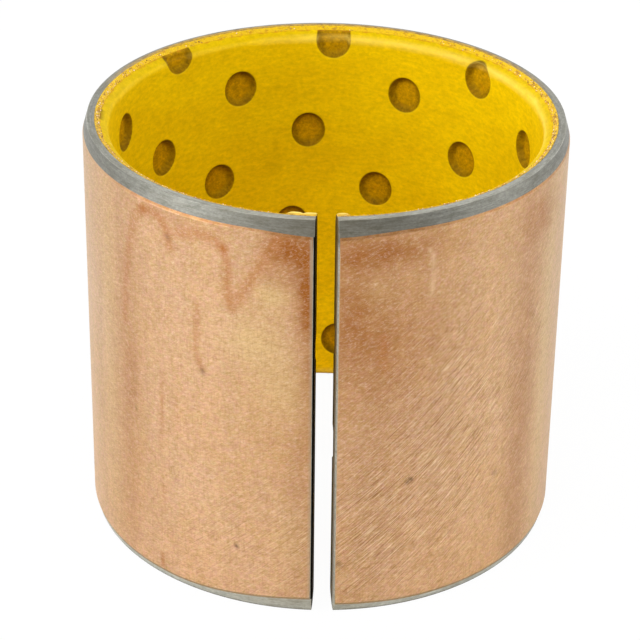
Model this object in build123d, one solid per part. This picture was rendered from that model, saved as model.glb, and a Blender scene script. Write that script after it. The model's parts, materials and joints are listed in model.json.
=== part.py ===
from build123d import *
import os
from math import atan2, ceil, cos, degrees, hypot, pi, radians, sin, tan

# Wrapped sleeve bearing: a strip of copper-flashed steel, sintered bronze and acetal,
# embossed with grease indents while flat, then rolled into an open-jointed bush.
# Millimetres and degrees. The bush stands on its foot end: Z is its axis, z = 0 its foot face.
# The slit faces -Y. Arcs are measured along the bore from the line opposite the slit, towards +X.

# Bush
bore_diameter = 25.0
length = 25.0

# Layers, from the shaft outwards
lining_thickness = 0.50
bronze_thickness = 0.30
steel_thickness = 0.65
plating_thickness = 0.05

# Outer chamfers, turned through the plating into the steel, longer at the top than at the foot
top_chamfer_length = 0.90
foot_chamfer_length = 0.55
outer_chamfer_angle = 16.0

# Mouth chamfers, which lead the shaft in and lay the bronze bare
mouth_chamfer_depth = 0.50
mouth_chamfer_width = 0.75

# Slit: its clear gap at the bore, the lean of each cut face, the broken outer corners,
# and how far its top end lies to the left of its foot
slit_gap = 0.95
slit_face_lean = 6.0
slit_corner_break = 0.12
slit_skew = 0.11

# Grease indents: oval wells, narrowed by the rolling. Few sides each, because there are dozens.
indent_height = 2.30
indent_width = 2.10
indent_depth = 0.36
indent_sides = 12

# Indent pattern: one indent, then its two neighbours as (along the arc, up the axis)
first_indent_arc = -0.95
first_indent_below_top = 6.73
step_down = (4.44, -3.23)
step_up = (5.95, 2.84)

# Indents that the embossing roll set off the pattern, by their steps down and up
strays = {
    (-3, -1): (0.90, 0.70),
    (-1, -1): (-0.04, -0.22),
    (0, 1): (0.16, 0.04),
    (0, 2): (-0.45, -0.40),
    (0, 3): (-0.30, -1.20),
    (1, -1): (0.50, -0.42),
    (1, 0): (-0.05, -0.65),
    (1, 2): (0.25, 0.30),
    (1, 3): (0.00, -0.50),
    (3, -2): (0.68, 0.21),
    (4, 4): (-1.30, 0.50),
}

# An indent is left out where less than this share of its height or width is on the strip
least_share = 0.2

bore_radius = bore_diameter / 2
lining_radius = bore_radius + lining_thickness
bronze_radius = lining_radius + bronze_thickness
steel_radius = bronze_radius + steel_thickness
outer_radius = steel_radius + plating_thickness
wall = outer_radius - bore_radius


def bush_blank():
    """The whole wall, turned to its outer and mouth chamfers, before it is parted into layers"""
    slope = tan(radians(outer_chamfer_angle))
    mouth_radius = bore_radius + mouth_chamfer_width
    section = Polyline(
        (mouth_radius, 0),
        (outer_radius - foot_chamfer_length * slope, 0),
        (outer_radius, foot_chamfer_length),
        (outer_radius, length - top_chamfer_length),
        (outer_radius - top_chamfer_length * slope, length),
        (mouth_radius, length),
        (bore_radius, length - mouth_chamfer_depth),
        (bore_radius, mouth_chamfer_depth),
        close=True,
    )
    return revolve(Plane.XZ * make_face(section), Axis.Z)


def slit_cutter():
    """A wedge through the front wall, wider outside, with the two outer corners broken"""
    lean = tan(radians(slit_face_lean))
    bore_half = slit_gap / 2
    corner_depth = slit_corner_break
    corner_half = bore_half + (wall - corner_depth) * lean
    outside_half = corner_half + slit_corner_break
    overrun = wall
    bore_side = [(bore_half, -(bore_radius - overrun)), (bore_half, -bore_radius)]
    outer_side = [
        (corner_half, -(outer_radius - corner_depth)),
        (outside_half, -outer_radius),
        (outside_half, -(outer_radius + overrun)),
    ]
    right = bore_side + outer_side
    left = [(-x, y) for x, y in reversed(right)]
    wedge = make_face(Polyline(*right, *left, close=True))
    straight = Pos(0, 0, -overrun) * extrude(wedge, length + 2 * overrun)
    return Rot(0, -degrees(atan2(slit_skew, length)), 0) * straight


def layer(blank, inner_radius, outer_limit):
    """The part of the blank between two radii, with the slit cut through it"""
    middle = Pos(0, 0, length / 2)
    ring = middle * (Cylinder(outer_limit, 2 * length) - Cylinder(inner_radius, 4 * length))
    return (blank & ring) - slit_cutter()


def indent_cutter():
    """One grease indent at the back of the bore: an oval well with a flat floor"""
    rim = []
    for side in range(indent_sides):
        angle = 2 * pi * side / indent_sides
        rim.append((indent_width / 2 * sin(angle), indent_height / 2 * cos(angle)))
    oval = make_face(Polyline(*rim, close=True))
    inside_the_bore = Plane(origin=(0, bore_radius - wall, 0), x_dir=(1, 0, 0), z_dir=(0, 1, 0))
    return extrude(inside_the_bore * oval, wall + indent_depth)


def indent_places():
    """Arc and height of every indent that lies on the strip, cut ones included"""
    half_strip = pi * bore_radius - slit_gap / 2
    arc_reach = half_strip + (0.5 - least_share) * indent_width
    axis_reach = (0.5 - least_share) * indent_height
    steps = ceil((half_strip + length) / min(hypot(*step_down), hypot(*step_up)))
    places = []
    for down in range(-steps, steps + 1):
        for up in range(-steps, steps + 1):
            stray_arc, stray_axis = strays.get((down, up), (0.0, 0.0))
            arc = first_indent_arc + down * step_down[0] + up * step_up[0] + stray_arc
            height = length - first_indent_below_top + down * step_down[1] + up * step_up[1] + stray_axis
            on_arc = abs(arc) < arc_reach
            on_axis = -axis_reach < height < length + axis_reach
            if on_arc and on_axis:
                places.append((arc, height))
    return places


def acetal_lining(blank):
    """The sliding layer, with the grease indents pressed into its bore"""
    cutter = indent_cutter()
    wells = []
    for arc, height in indent_places():
        turn = degrees(arc / bore_radius)
        wells.append(Pos(0, 0, height) * Rot(0, 0, -turn) * cutter)
    return layer(blank, bore_radius - wall, lining_radius).cut(*wells)


def write(node, shape):
    """One sub-part as its own STEP file"""
    export_step(shape, os.path.join("parts", node + ".step"))


os.makedirs("parts", exist_ok=True)
blank = bush_blank()
write("acetal_lining", acetal_lining(blank))
write("bronze_interlayer", layer(blank, lining_radius, bronze_radius))
write("steel_backing", layer(blank, bronze_radius, steel_radius))
write("copper_plating", layer(blank, steel_radius, outer_radius + wall))
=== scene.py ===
import json
from math import ceil, cos, hypot, pi, radians, sin, tan

import bpy
import numpy as np
from mathutils import Matrix, Vector


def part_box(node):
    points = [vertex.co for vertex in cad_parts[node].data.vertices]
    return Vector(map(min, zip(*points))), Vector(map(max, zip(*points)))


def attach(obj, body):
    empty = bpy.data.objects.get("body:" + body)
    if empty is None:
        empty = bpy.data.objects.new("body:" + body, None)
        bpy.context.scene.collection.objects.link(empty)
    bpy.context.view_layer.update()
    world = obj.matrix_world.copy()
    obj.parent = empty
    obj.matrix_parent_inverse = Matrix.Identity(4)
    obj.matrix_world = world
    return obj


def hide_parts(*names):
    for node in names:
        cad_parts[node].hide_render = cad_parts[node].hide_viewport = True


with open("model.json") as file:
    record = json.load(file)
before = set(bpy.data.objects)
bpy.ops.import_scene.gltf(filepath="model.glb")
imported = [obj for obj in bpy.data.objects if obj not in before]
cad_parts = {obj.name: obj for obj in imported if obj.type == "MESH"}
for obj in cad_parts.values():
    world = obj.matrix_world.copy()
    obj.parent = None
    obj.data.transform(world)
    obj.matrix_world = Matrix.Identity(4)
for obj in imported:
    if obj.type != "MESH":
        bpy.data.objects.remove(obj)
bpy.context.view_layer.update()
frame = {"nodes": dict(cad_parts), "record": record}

MM = 0.001


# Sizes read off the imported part, in millimetres

def widest(node, height=None):
    """The largest radius of a node, or of its corners at one height"""
    found = []
    for corner in frame["nodes"][node].data.vertices:
        if height is None or abs(corner.co.z / MM - height) < 0.01:
            found.append(hypot(corner.co.x, corner.co.y) / MM)
    return max(found)


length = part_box("steel_backing")[1].z / MM
bore_radius = next(m for m in frame["record"]["mounts"] if m["name"] == "bore")["dims"]["r_mm"]
lining_radius = widest("acetal_lining")
bronze_radius = widest("bronze_interlayer")
steel_radius = widest("steel_backing")
outer_radius = widest("copper_plating")
foot_face_radius = widest("steel_backing", 0)
top_face_radius = widest("steel_backing", length)

# Sizes that the part's source gives, in millimetres and degrees
outer_chamfer_angle = 16.0
mouth_chamfer_depth = 0.50
mouth_chamfer_width = 0.75
slit_gap = 0.95
slit_face_lean = 6.0
slit_corner_break = 0.12
slit_skew = 0.11
indent_height = 2.30
indent_width = 2.10
indent_depth = 0.36
first_indent_arc = -0.95
first_indent_below_top = 6.73
step_down = (4.44, -3.23)
step_up = (5.95, 2.84)
strays = {
    (-3, -1): (0.90, 0.70),
    (-1, -1): (-0.04, -0.22),
    (0, 1): (0.16, 0.04),
    (0, 2): (-0.45, -0.40),
    (0, 3): (-0.30, -1.20),
    (1, -1): (0.50, -0.42),
    (1, 0): (-0.05, -0.65),
    (1, 2): (0.25, 0.30),
    (1, 3): (0.00, -0.50),
    (3, -2): (0.68, 0.21),
    (4, 4): (-1.30, 0.50),
}
least_share = 0.2

# Sizes of what only shows close up, in millimetres
edge_round = 0.04
crease_round = 0.5
indent_edge = 0.24
lip_height = 0.02
lip_width = 0.35
plating_margin = 0.08
grain_size = 0.10

# How much longer the outer chamfers run beside the slit, as (side, extra length, reach along the arc)
longer_top_chamfer = [(-1, 0.25, 4.5), (1, 0.25, 4.5)]
longer_foot_chamfer = [(-1, 0.45, 9.0), (1, 0.10, 6.0)]
# Burrs on the lining's upper rim, as (place along the arc from the slit, reach), and how far below
# the end face they stay
burrs = [(-1.0, 0.6), (-1.9, 0.55), (0.8, 0.45)]
burr_clearance = 0.02

# How finely the layers are divided, in millimetres
plain_column = 0.2
painted_row = 0.2
embossed_grid = 0.15

half_strip = pi * bore_radius - slit_gap / 2


# Small helpers

def linear(hex_colour):
    """An sRGB hex colour as the linear colour that a shader takes"""
    channels = [int(hex_colour[i:i + 2], 16) / 255 for i in (1, 3, 5)]
    return [c / 12.92 if c <= 0.04045 else ((c + 0.055) / 1.055) ** 2.4 for c in channels] + [1]


def add(tree, kind, inputs=None, **settings):
    """One node with its settings, each input set to a value or linked to a socket or a node's first output"""
    node = tree.nodes.new(kind)
    for name, value in settings.items():
        setattr(node, name, value)
    for name, value in (inputs or {}).items():
        if isinstance(value, bpy.types.Node):
            value = value.outputs[0]
        if isinstance(value, bpy.types.NodeSocket):
            tree.links.new(value, node.inputs[name])
        else:
            node.inputs[name].default_value = value
    return node


def linked(name, data):
    """An object in the scene, at the origin"""
    thing = bpy.data.objects.new(name, data)
    bpy.context.scene.collection.objects.link(thing)
    return thing


def line_curve(name, points, closed):
    """A curve of straight runs, for Geometry Nodes to follow"""
    curve = bpy.data.curves.new(name, "CURVE")
    curve.dimensions = "3D"
    spline = curve.splines.new("POLY")
    spline.points.add(len(points) - 1)
    for target, point in zip(spline.points, points):
        target.co = (*point, 0, 1)
    spline.use_cyclic_u = closed
    return linked(name, curve)


def section_outline(corners):
    """A closed section from its corners, each as (radius, height, rounding, spacing): the rounding as a
    short arc, and the side that starts there divided to about that spacing, or left whole at nought"""
    arcs = []
    count = len(corners)
    for i in range(count):
        before = Vector(corners[i - 1][:2])
        here = Vector(corners[i][:2])
        after = Vector(corners[(i + 1) % count][:2])
        rounding = corners[i][2]
        if rounding == 0:
            arcs.append([here])
            continue
        to_before = (before - here).normalized()
        to_after = (after - here).normalized()
        half_turn = to_before.angle(to_after) / 2
        middle = here + (to_before + to_after).normalized() * rounding / sin(half_turn)
        start = here + to_before * rounding / tan(half_turn)
        end = here + to_after * rounding / tan(half_turn)
        steps = 4
        rays = [(start - middle).lerp(end - middle, step / steps).normalized() for step in range(steps + 1)]
        arcs.append([middle + ray * rounding for ray in rays])
    points = []
    for i in range(count):
        start = arcs[i][-1]
        end = arcs[(i + 1) % count][0]
        spacing = corners[i][3]
        steps = max(1, round((end - start).length / spacing)) if spacing else 1
        points += arcs[i][:-1]
        points += [start.lerp(end, step / steps) for step in range(steps)]
    return points


# Rolling the strips up

def strip_stations(spacing, margin):
    """Places along the flat strip, closer together at the two broken edges"""
    reach = half_strip - margin
    inner = half_strip - slit_corner_break
    count = ceil(2 * inner / spacing)
    middle = [-inner + 2 * inner * i / count for i in range(count + 1)]
    edge = [inner + (reach - inner) * share for share in (0.5, 1.0)]
    return [-place for place in reversed(edge)] + middle + edge


def indent_places():
    """Arc and height of every indent that lies on the strip, as the part's source has them"""
    arc_reach = half_strip + (0.5 - least_share) * indent_width
    axis_reach = (0.5 - least_share) * indent_height
    steps = ceil((half_strip + length) / min(hypot(*step_down), hypot(*step_up)))
    places = []
    for down in range(-steps, steps + 1):
        for up in range(-steps, steps + 1):
            stray_arc, stray_axis = strays.get((down, up), (0.0, 0.0))
            arc = first_indent_arc + down * step_down[0] + up * step_up[0] + stray_arc
            height = length - first_indent_below_top + down * step_down[1] + up * step_up[1] + stray_axis
            if abs(arc) < arc_reach and -axis_reach < height < length + axis_reach:
                places.append((arc, height))
    return places


def indent_marks():
    """The indents' middles as points of a mesh, stretched along the arc until an indent is round"""
    stretch = indent_height / indent_width
    mesh = bpy.data.meshes.new("indent_marks")
    mesh.from_pydata([(arc * stretch, 0, height) for arc, height in indent_places()], [], [])
    return linked("indent_marks", mesh)


def rolled_strip_nodes():
    """Geometry Nodes: sweeps a section along a flat strip, embosses its bore and rolls it up"""
    tree = bpy.data.node_groups.new("rolled_strip", "GeometryNodeTree")
    sockets = tree.interface
    sockets.new_socket("Geometry", in_out="INPUT", socket_type="NodeSocketGeometry")
    sockets.new_socket("Strip", in_out="INPUT", socket_type="NodeSocketObject")
    sockets.new_socket("Section", in_out="INPUT", socket_type="NodeSocketObject")
    sockets.new_socket("Indent Marks", in_out="INPUT", socket_type="NodeSocketObject")
    for name in ("Bore Radius", "Outer Radius", "Half Strip", "Slit Gap", "Slit Lean", "Slit Slant", "Corner Break",
                 "Indent Depth", "Indent Radius", "Indent Edge", "Indent Stretch", "Lip Height", "Lip Width",
                 "Crowding", "Crease Angle"):
        sockets.new_socket(name, in_out="INPUT", socket_type="NodeSocketFloat")
    sockets.new_socket("Finish", in_out="INPUT", socket_type="NodeSocketMaterial")
    sockets.new_socket("Geometry", in_out="OUTPUT", socket_type="NodeSocketGeometry")
    given = add(tree, "NodeGroupInput").outputs

    strip = add(tree, "GeometryNodeObjectInfo", {"Object": given["Strip"]}).outputs["Geometry"]
    section = add(tree, "GeometryNodeObjectInfo", {"Object": given["Section"]}).outputs["Geometry"]
    marks = add(tree, "GeometryNodeObjectInfo", {"Object": given["Indent Marks"]}).outputs["Geometry"]
    bar = add(tree, "GeometryNodeCurveToMesh", {"Curve": strip, "Profile Curve": section, "Fill Caps": True})

    # The swept bar lies along X, with its radius along -Y and its height along -Z
    place = add(tree, "ShaderNodeSeparateXYZ", {0: add(tree, "GeometryNodeInputPosition")})
    swept_arc = place.outputs["X"]
    radius = add(tree, "ShaderNodeMath", {0: place.outputs["Y"], 1: -1.0}, operation="MULTIPLY")
    swept_height = add(tree, "ShaderNodeMath", {0: place.outputs["Z"], 1: -1.0}, operation="MULTIPLY")
    off_the_bore = add(tree, "ShaderNodeMath", {0: radius, 1: given["Bore Radius"]}, operation="SUBTRACT")
    on_bore = add(tree, "ShaderNodeMath", {0: off_the_bore, 1: 0.001}, operation="LESS_THAN")

    # How far each point is from the nearest indent's middle
    stretched = add(tree, "ShaderNodeMath", {0: swept_arc, 1: given["Indent Stretch"]}, operation="MULTIPLY")
    flat_place = add(tree, "ShaderNodeCombineXYZ", {"X": stretched, "Z": swept_height})
    nearest = add(tree, "GeometryNodeProximity", {"Target": marks, "Source Position": flat_place},
                  target_element="POINTS")
    swept_distance = nearest.outputs["Distance"]
    from_middle = add(tree, "ShaderNodeVectorMath", {0: flat_place, 1: nearest.outputs["Position"]},
                      operation="SUBTRACT")
    away = add(tree, "ShaderNodeVectorMath", {0: from_middle}, operation="NORMALIZE")

    # Points of the plain bore near an indent's rim are drawn towards it, so that it comes out crisp
    past_rim = add(tree, "ShaderNodeMath", {0: swept_distance, 1: given["Indent Radius"]}, operation="SUBTRACT")
    off_rim = add(tree, "ShaderNodeMath", {0: past_rim}, operation="ABSOLUTE")
    closeness = add(tree, "ShaderNodeMath", {0: off_rim, 1: given["Crowding"]}, operation="DIVIDE")
    spare = add(tree, "ShaderNodeMath", {0: 1.0, 1: closeness}, operation="SUBTRACT", use_clamp=True)
    pull = add(tree, "ShaderNodeMath", {0: past_rim, 1: spare}, operation="MULTIPLY")
    off_middle = add(tree, "ShaderNodeMath", {0: swept_arc}, operation="ABSOLUTE")
    to_edge = add(tree, "ShaderNodeMath", {0: given["Half Strip"], 1: off_middle}, operation="SUBTRACT")
    inside_edges = add(tree, "ShaderNodeMath", {0: to_edge, 1: given["Crowding"]}, operation="GREATER_THAN")
    free = add(tree, "ShaderNodeMath", {0: on_bore, 1: inside_edges}, operation="MULTIPLY")
    move = add(tree, "ShaderNodeMath", {0: pull, 1: free}, operation="MULTIPLY")
    drawn = add(tree, "ShaderNodeVectorMath", {0: away, "Scale": move}, operation="SCALE")
    drawn_place = add(tree, "ShaderNodeVectorMath", {0: flat_place, 1: drawn}, operation="SUBTRACT")
    crowded = add(tree, "ShaderNodeSeparateXYZ", {0: drawn_place})
    arc = add(tree, "ShaderNodeMath", {0: crowded.outputs["X"], 1: given["Indent Stretch"]}, operation="DIVIDE")
    height = crowded.outputs["Z"]
    distance = add(tree, "ShaderNodeMath", {0: swept_distance, 1: move}, operation="SUBTRACT")

    # How deep each point is pressed, with a low lip raised round each indent on the plain bore only
    floor_reach = add(tree, "ShaderNodeMath", {0: given["Indent Radius"], 1: given["Indent Edge"]},
                      operation="SUBTRACT")
    pressed = add(tree, "ShaderNodeMapRange",
                  {"Value": distance, "From Min": floor_reach, "From Max": given["Indent Radius"],
                   "To Min": given["Indent Depth"], "To Max": 0.0}, interpolation_type="SMOOTHSTEP")
    floor = add(tree, "ShaderNodeMath", {0: given["Bore Radius"], 1: pressed})
    deep = add(tree, "ShaderNodeMath", {0: radius, 1: floor}, operation="MAXIMUM")
    lip_far = add(tree, "ShaderNodeMath", {0: given["Indent Radius"], 1: given["Lip Width"]})
    lip_fall = add(tree, "ShaderNodeMapRange",
                   {"Value": distance, "From Min": given["Indent Radius"], "From Max": lip_far,
                    "To Min": given["Lip Height"], "To Max": 0.0}, interpolation_type="SMOOTHSTEP")
    lip_rise = add(tree, "ShaderNodeMapRange",
                   {"Value": distance, "From Min": floor_reach, "From Max": given["Indent Radius"],
                    "To Min": 0.0, "To Max": 1.0}, interpolation_type="SMOOTHSTEP")
    lip = add(tree, "ShaderNodeMath", {0: lip_fall, 1: lip_rise}, operation="MULTIPLY")
    bore_lip = add(tree, "ShaderNodeMath", {0: lip, 1: on_bore}, operation="MULTIPLY")
    raised = add(tree, "ShaderNodeMath", {0: deep, 1: bore_lip}, operation="SUBTRACT")

    # The broken outer corner along each cut edge
    broken = add(tree, "ShaderNodeMath", {0: given["Corner Break"], 1: to_edge}, operation="SUBTRACT")
    broken_away = add(tree, "ShaderNodeMath", {0: broken, 1: 0.0}, operation="MAXIMUM")
    outer_limit = add(tree, "ShaderNodeMath", {0: given["Outer Radius"], 1: broken_away}, operation="SUBTRACT")
    final_radius = add(tree, "ShaderNodeMath", {0: raised, 1: outer_limit}, operation="MINIMUM")

    # The angle that a place on the strip comes to: the cut faces lean apart, and the slit slants
    lean = add(tree, "ShaderNodeMath", {0: given["Slit Lean"]}, operation="TANGENT")
    into_wall = add(tree, "ShaderNodeMath", {0: final_radius, 1: given["Bore Radius"]}, operation="SUBTRACT")
    half_gap = add(tree, "ShaderNodeMath", {0: given["Slit Gap"], 1: 0.5}, operation="MULTIPLY")
    straight_offset = add(tree, "ShaderNodeMath", {0: into_wall, 1: lean, 2: half_gap}, operation="MULTIPLY_ADD")
    side = add(tree, "ShaderNodeMath", {0: arc}, operation="SIGN")
    slant = add(tree, "ShaderNodeMath", {0: height, 1: given["Slit Slant"]}, operation="MULTIPLY")
    side_slant = add(tree, "ShaderNodeMath", {0: slant, 1: side}, operation="MULTIPLY")
    face_offset = add(tree, "ShaderNodeMath", {0: straight_offset, 1: side_slant}, operation="SUBTRACT")
    face_share = add(tree, "ShaderNodeMath", {0: face_offset, 1: final_radius}, operation="DIVIDE")
    face_angle = add(tree, "ShaderNodeMath", {0: face_share}, operation="ARCSINE")
    strip_angle = add(tree, "ShaderNodeMath", {0: pi, 1: face_angle}, operation="SUBTRACT")
    along = add(tree, "ShaderNodeMath", {0: arc, 1: given["Half Strip"]}, operation="DIVIDE")
    angle = add(tree, "ShaderNodeMath", {0: along, 1: strip_angle}, operation="MULTIPLY")
    across = add(tree, "ShaderNodeMath", {0: angle}, operation="SINE")
    back = add(tree, "ShaderNodeMath", {0: angle}, operation="COSINE")
    x = add(tree, "ShaderNodeMath", {0: final_radius, 1: across}, operation="MULTIPLY")
    y = add(tree, "ShaderNodeMath", {0: final_radius, 1: back}, operation="MULTIPLY")
    rolled_mm = add(tree, "ShaderNodeCombineXYZ", {"X": x, "Y": y, "Z": height})
    rolled = add(tree, "ShaderNodeVectorMath", {0: rolled_mm, "Scale": MM}, operation="SCALE")

    # What the finish reads later: each point's place about the nearest indent, as shares of its radius
    out_share = add(tree, "ShaderNodeMath", {0: distance, 1: given["Indent Radius"]}, operation="DIVIDE")
    rise = add(tree, "ShaderNodeSeparateXYZ", {0: from_middle}).outputs["Z"]
    up_share = add(tree, "ShaderNodeMath", {0: rise, 1: given["Indent Radius"]}, operation="DIVIDE")
    marked = add(tree, "GeometryNodeStoreNamedAttribute",
                 {"Geometry": bar, "Name": "from_indent", "Value": out_share}, data_type="FLOAT", domain="POINT")
    marked_twice = add(tree, "GeometryNodeStoreNamedAttribute",
                       {"Geometry": marked, "Name": "above_indent", "Value": up_share},
                       data_type="FLOAT", domain="POINT")
    bush = add(tree, "GeometryNodeSetPosition", {"Geometry": marked_twice, "Position": rolled})
    turn = add(tree, "GeometryNodeInputMeshEdgeAngle")
    sharp = add(tree, "FunctionNodeCompare", {0: turn.outputs["Unsigned Angle"], 1: given["Crease Angle"]},
                operation="GREATER_THAN")
    smooth = add(tree, "GeometryNodeSetShadeSmooth", {"Geometry": bush, "Shade Smooth": True}, domain="FACE")
    crisp = add(tree, "GeometryNodeSetShadeSmooth",
                {"Geometry": smooth, "Selection": sharp, "Shade Smooth": False}, domain="EDGE")
    real = add(tree, "GeometryNodeRealizeInstances", {"Geometry": crisp})
    finished = add(tree, "GeometryNodeSetMaterial", {"Geometry": real, "Material": given["Finish"]})
    add(tree, "NodeGroupOutput", {0: finished})
    return tree


def grown(name, tree, values, base=None):
    """A plain mesh object made by a Geometry Nodes tree with these named inputs"""
    maker = linked(name + "_maker", base or bpy.data.meshes.new(name + "_maker"))
    modifier = maker.modifiers.new("make", "NODES")
    modifier.node_group = tree
    for socket in tree.interface.items_tree:
        if socket.in_out == "INPUT" and socket.name in values:
            modifier[socket.identifier] = values[socket.name]
    graph = bpy.context.evaluated_depsgraph_get()
    mesh = bpy.data.meshes.new_from_object(maker.evaluated_get(graph), depsgraph=graph)
    maker.modifiers.remove(modifier)
    bpy.data.objects.remove(maker)
    mesh.name = name
    return linked(name, mesh)


def rolled_layer(name, tree, corners, finish, marks, column, crease_angle, margin=0.0, embossed=False):
    """One layer of the bush, swept from its section's corners and rolled up"""
    section = line_curve(name + "_section", section_outline(corners), True)
    strip = line_curve(name + "_strip", [(place, 0) for place in strip_stations(column, margin)], False)
    layer = grown(name, tree, {
        "Strip": strip,
        "Section": section,
        "Indent Marks": marks,
        "Bore Radius": bore_radius,
        "Outer Radius": outer_radius,
        "Half Strip": half_strip,
        "Slit Gap": slit_gap,
        "Slit Lean": radians(slit_face_lean),
        "Slit Slant": slit_skew / length,
        "Corner Break": slit_corner_break,
        "Indent Depth": indent_depth if embossed else 0.0,
        "Indent Radius": indent_height / 2,
        "Indent Edge": indent_edge,
        "Indent Stretch": indent_height / indent_width,
        "Lip Height": lip_height if embossed else 0.0,
        "Lip Width": lip_width,
        "Crowding": embossed_grid,
        "Crease Angle": radians(crease_angle),
        "Finish": finish,
    })
    bpy.data.objects.remove(section)
    bpy.data.objects.remove(strip)
    return layer


# Sections, as (radius, height, rounding, spacing) from the lower inner corner, outwards and up

def chamfer_height(radius):
    """How far above the foot, or below the top, the outer chamfer reaches at a radius"""
    slope = tan(radians(outer_chamfer_angle))
    return (radius - foot_face_radius) / slope, (radius - top_face_radius) / slope


def mouth_height(radius):
    """How deep the mouth chamfer is at a radius"""
    return mouth_chamfer_depth * (bore_radius + mouth_chamfer_width - radius) / mouth_chamfer_width


def steel_section():
    foot, top = chamfer_height(steel_radius)
    return [
        (bronze_radius, 0, edge_round, 0),
        (foot_face_radius, 0, edge_round, 0),
        (steel_radius, foot, 0, 0),
        (steel_radius, length - top, 0, 0),
        (top_face_radius, length, edge_round, 0),
        (bronze_radius, length, edge_round, 0),
    ]


def plating_section():
    inner_foot, inner_top = chamfer_height(steel_radius)
    outer_foot, outer_top = chamfer_height(outer_radius)
    return [
        (steel_radius, inner_foot, 0, 0),
        (outer_radius, outer_foot, 0, painted_row),
        (outer_radius, length - outer_top, 0, 0),
        (steel_radius, length - inner_top, 0, 0),
    ]


def bronze_section():
    mouth_radius = bore_radius + mouth_chamfer_width
    depth = mouth_height(lining_radius)
    return [
        (lining_radius, depth, 0, 0),
        (mouth_radius, 0, 0, 0),
        (bronze_radius, 0, 0, 0),
        (bronze_radius, length, 0, 0),
        (mouth_radius, length, 0, 0),
        (lining_radius, length - depth, 0, 0),
    ]


def lining_section():
    depth = mouth_height(lining_radius)
    return [
        (bore_radius, mouth_chamfer_depth, crease_round, embossed_grid),
        (lining_radius, depth, 0, 0),
        (lining_radius, length - depth, 0, embossed_grid),
        (bore_radius, length - mouth_chamfer_depth, crease_round, embossed_grid),
    ]


# Where points are on the rolled strip

def mesh_points(mesh):
    """A mesh's points in mm, one row each"""
    points = np.zeros(len(mesh.vertices) * 3)
    mesh.vertices.foreach_get("co", points)
    return points.reshape(-1, 3) / MM


def strip_places(mesh):
    """Each point's place on the rolled strip: mm round the outside from the slit's middle, and mm up"""
    x, y, z = mesh_points(mesh).T
    return np.arctan2(x, -y) * outer_radius, z


# What the lathe and the shears left beside the slit

def set_heights(mesh, heights):
    """Moves a mesh's points to these heights in mm"""
    points = mesh_points(mesh)
    points[:, 2] = heights
    mesh.vertices.foreach_set("co", points.ravel() * MM)
    mesh.update()


def faded(arc, side, reach):
    """A share that falls smoothly from 1 at the slit to 0 at a distance from it on one side"""
    share = np.clip(1 - arc * side / reach, 0, 1)
    return np.where(arc * side > 0, share * share * (3 - 2 * share), 0)


def lengthen_chamfers(mesh):
    """Shortens the outer wall between its chamfers: the rolled edges stood proud of the rest when they
    were turned, so both chamfers run longer there"""
    x, y, height = mesh_points(mesh).T
    arc = np.arctan2(x, -y) * outer_radius
    on_wall = np.hypot(x, y) > (foot_face_radius + outer_radius - slit_corner_break) / 2
    from_top = sum(longer * faded(arc, side, reach) for side, longer, reach in longer_top_chamfer)
    from_foot = sum(longer * faded(arc, side, reach) for side, longer, reach in longer_foot_chamfer)
    moved = height + from_foot * (1 - height / length) - from_top * height / length
    set_heights(mesh, np.where(on_wall, moved, height))


def raise_burrs(mesh):
    """Lifts the lining's mouth chamfer beside the slit, where the tool pushed the acetal up"""
    arc, height = strip_places(mesh)
    rise = mouth_chamfer_depth - mouth_height(lining_radius)
    into_mouth = np.clip(1.4 * (height - (length - mouth_chamfer_depth)) / rise, 0, 1)
    share = np.zeros(len(arc))
    for middle, reach in burrs:
        share = np.maximum(share, np.exp(-((arc - middle) / reach) ** 4))
    lifted = height + share * into_mouth * (length - burr_clearance - height)
    set_heights(mesh, np.maximum(height, lifted))


# Stains and marks, painted as a share from 0 to 1 on a piece's own points


def distance_to_line(arc, height, line):
    """How far each place is from a line through given points"""
    nearest = np.full(len(arc), np.inf)
    for (a0, h0), (a1, h1) in zip(line, line[1:]):
        run_arc, run_height = a1 - a0, h1 - h0
        share = ((arc - a0) * run_arc + (height - h0) * run_height) / (run_arc ** 2 + run_height ** 2)
        share = np.clip(share, 0, 1)
        nearest = np.minimum(nearest, np.hypot(arc - a0 - share * run_arc, height - h0 - share * run_height))
    return nearest


def paint(mesh, name, lines=(), patches=()):
    """Stores stains as a point attribute: lines are (points, half width, strength), patches (middle, reach, strength)"""
    arc, height = strip_places(mesh)
    share = np.zeros(len(arc))
    for line, half_width, strength in lines:
        share += strength * np.exp(-(distance_to_line(arc, height, line) / half_width) ** 2)
    for middle, reach, strength in patches:
        off = ((arc - middle[0]) / reach[0]) ** 2 + ((height - middle[1]) / reach[1]) ** 2
        share += strength * np.exp(-off)
    attribute = mesh.attributes.new(name, "FLOAT", "POINT")
    attribute.data.foreach_set("value", np.clip(share, 0, 1))


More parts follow.
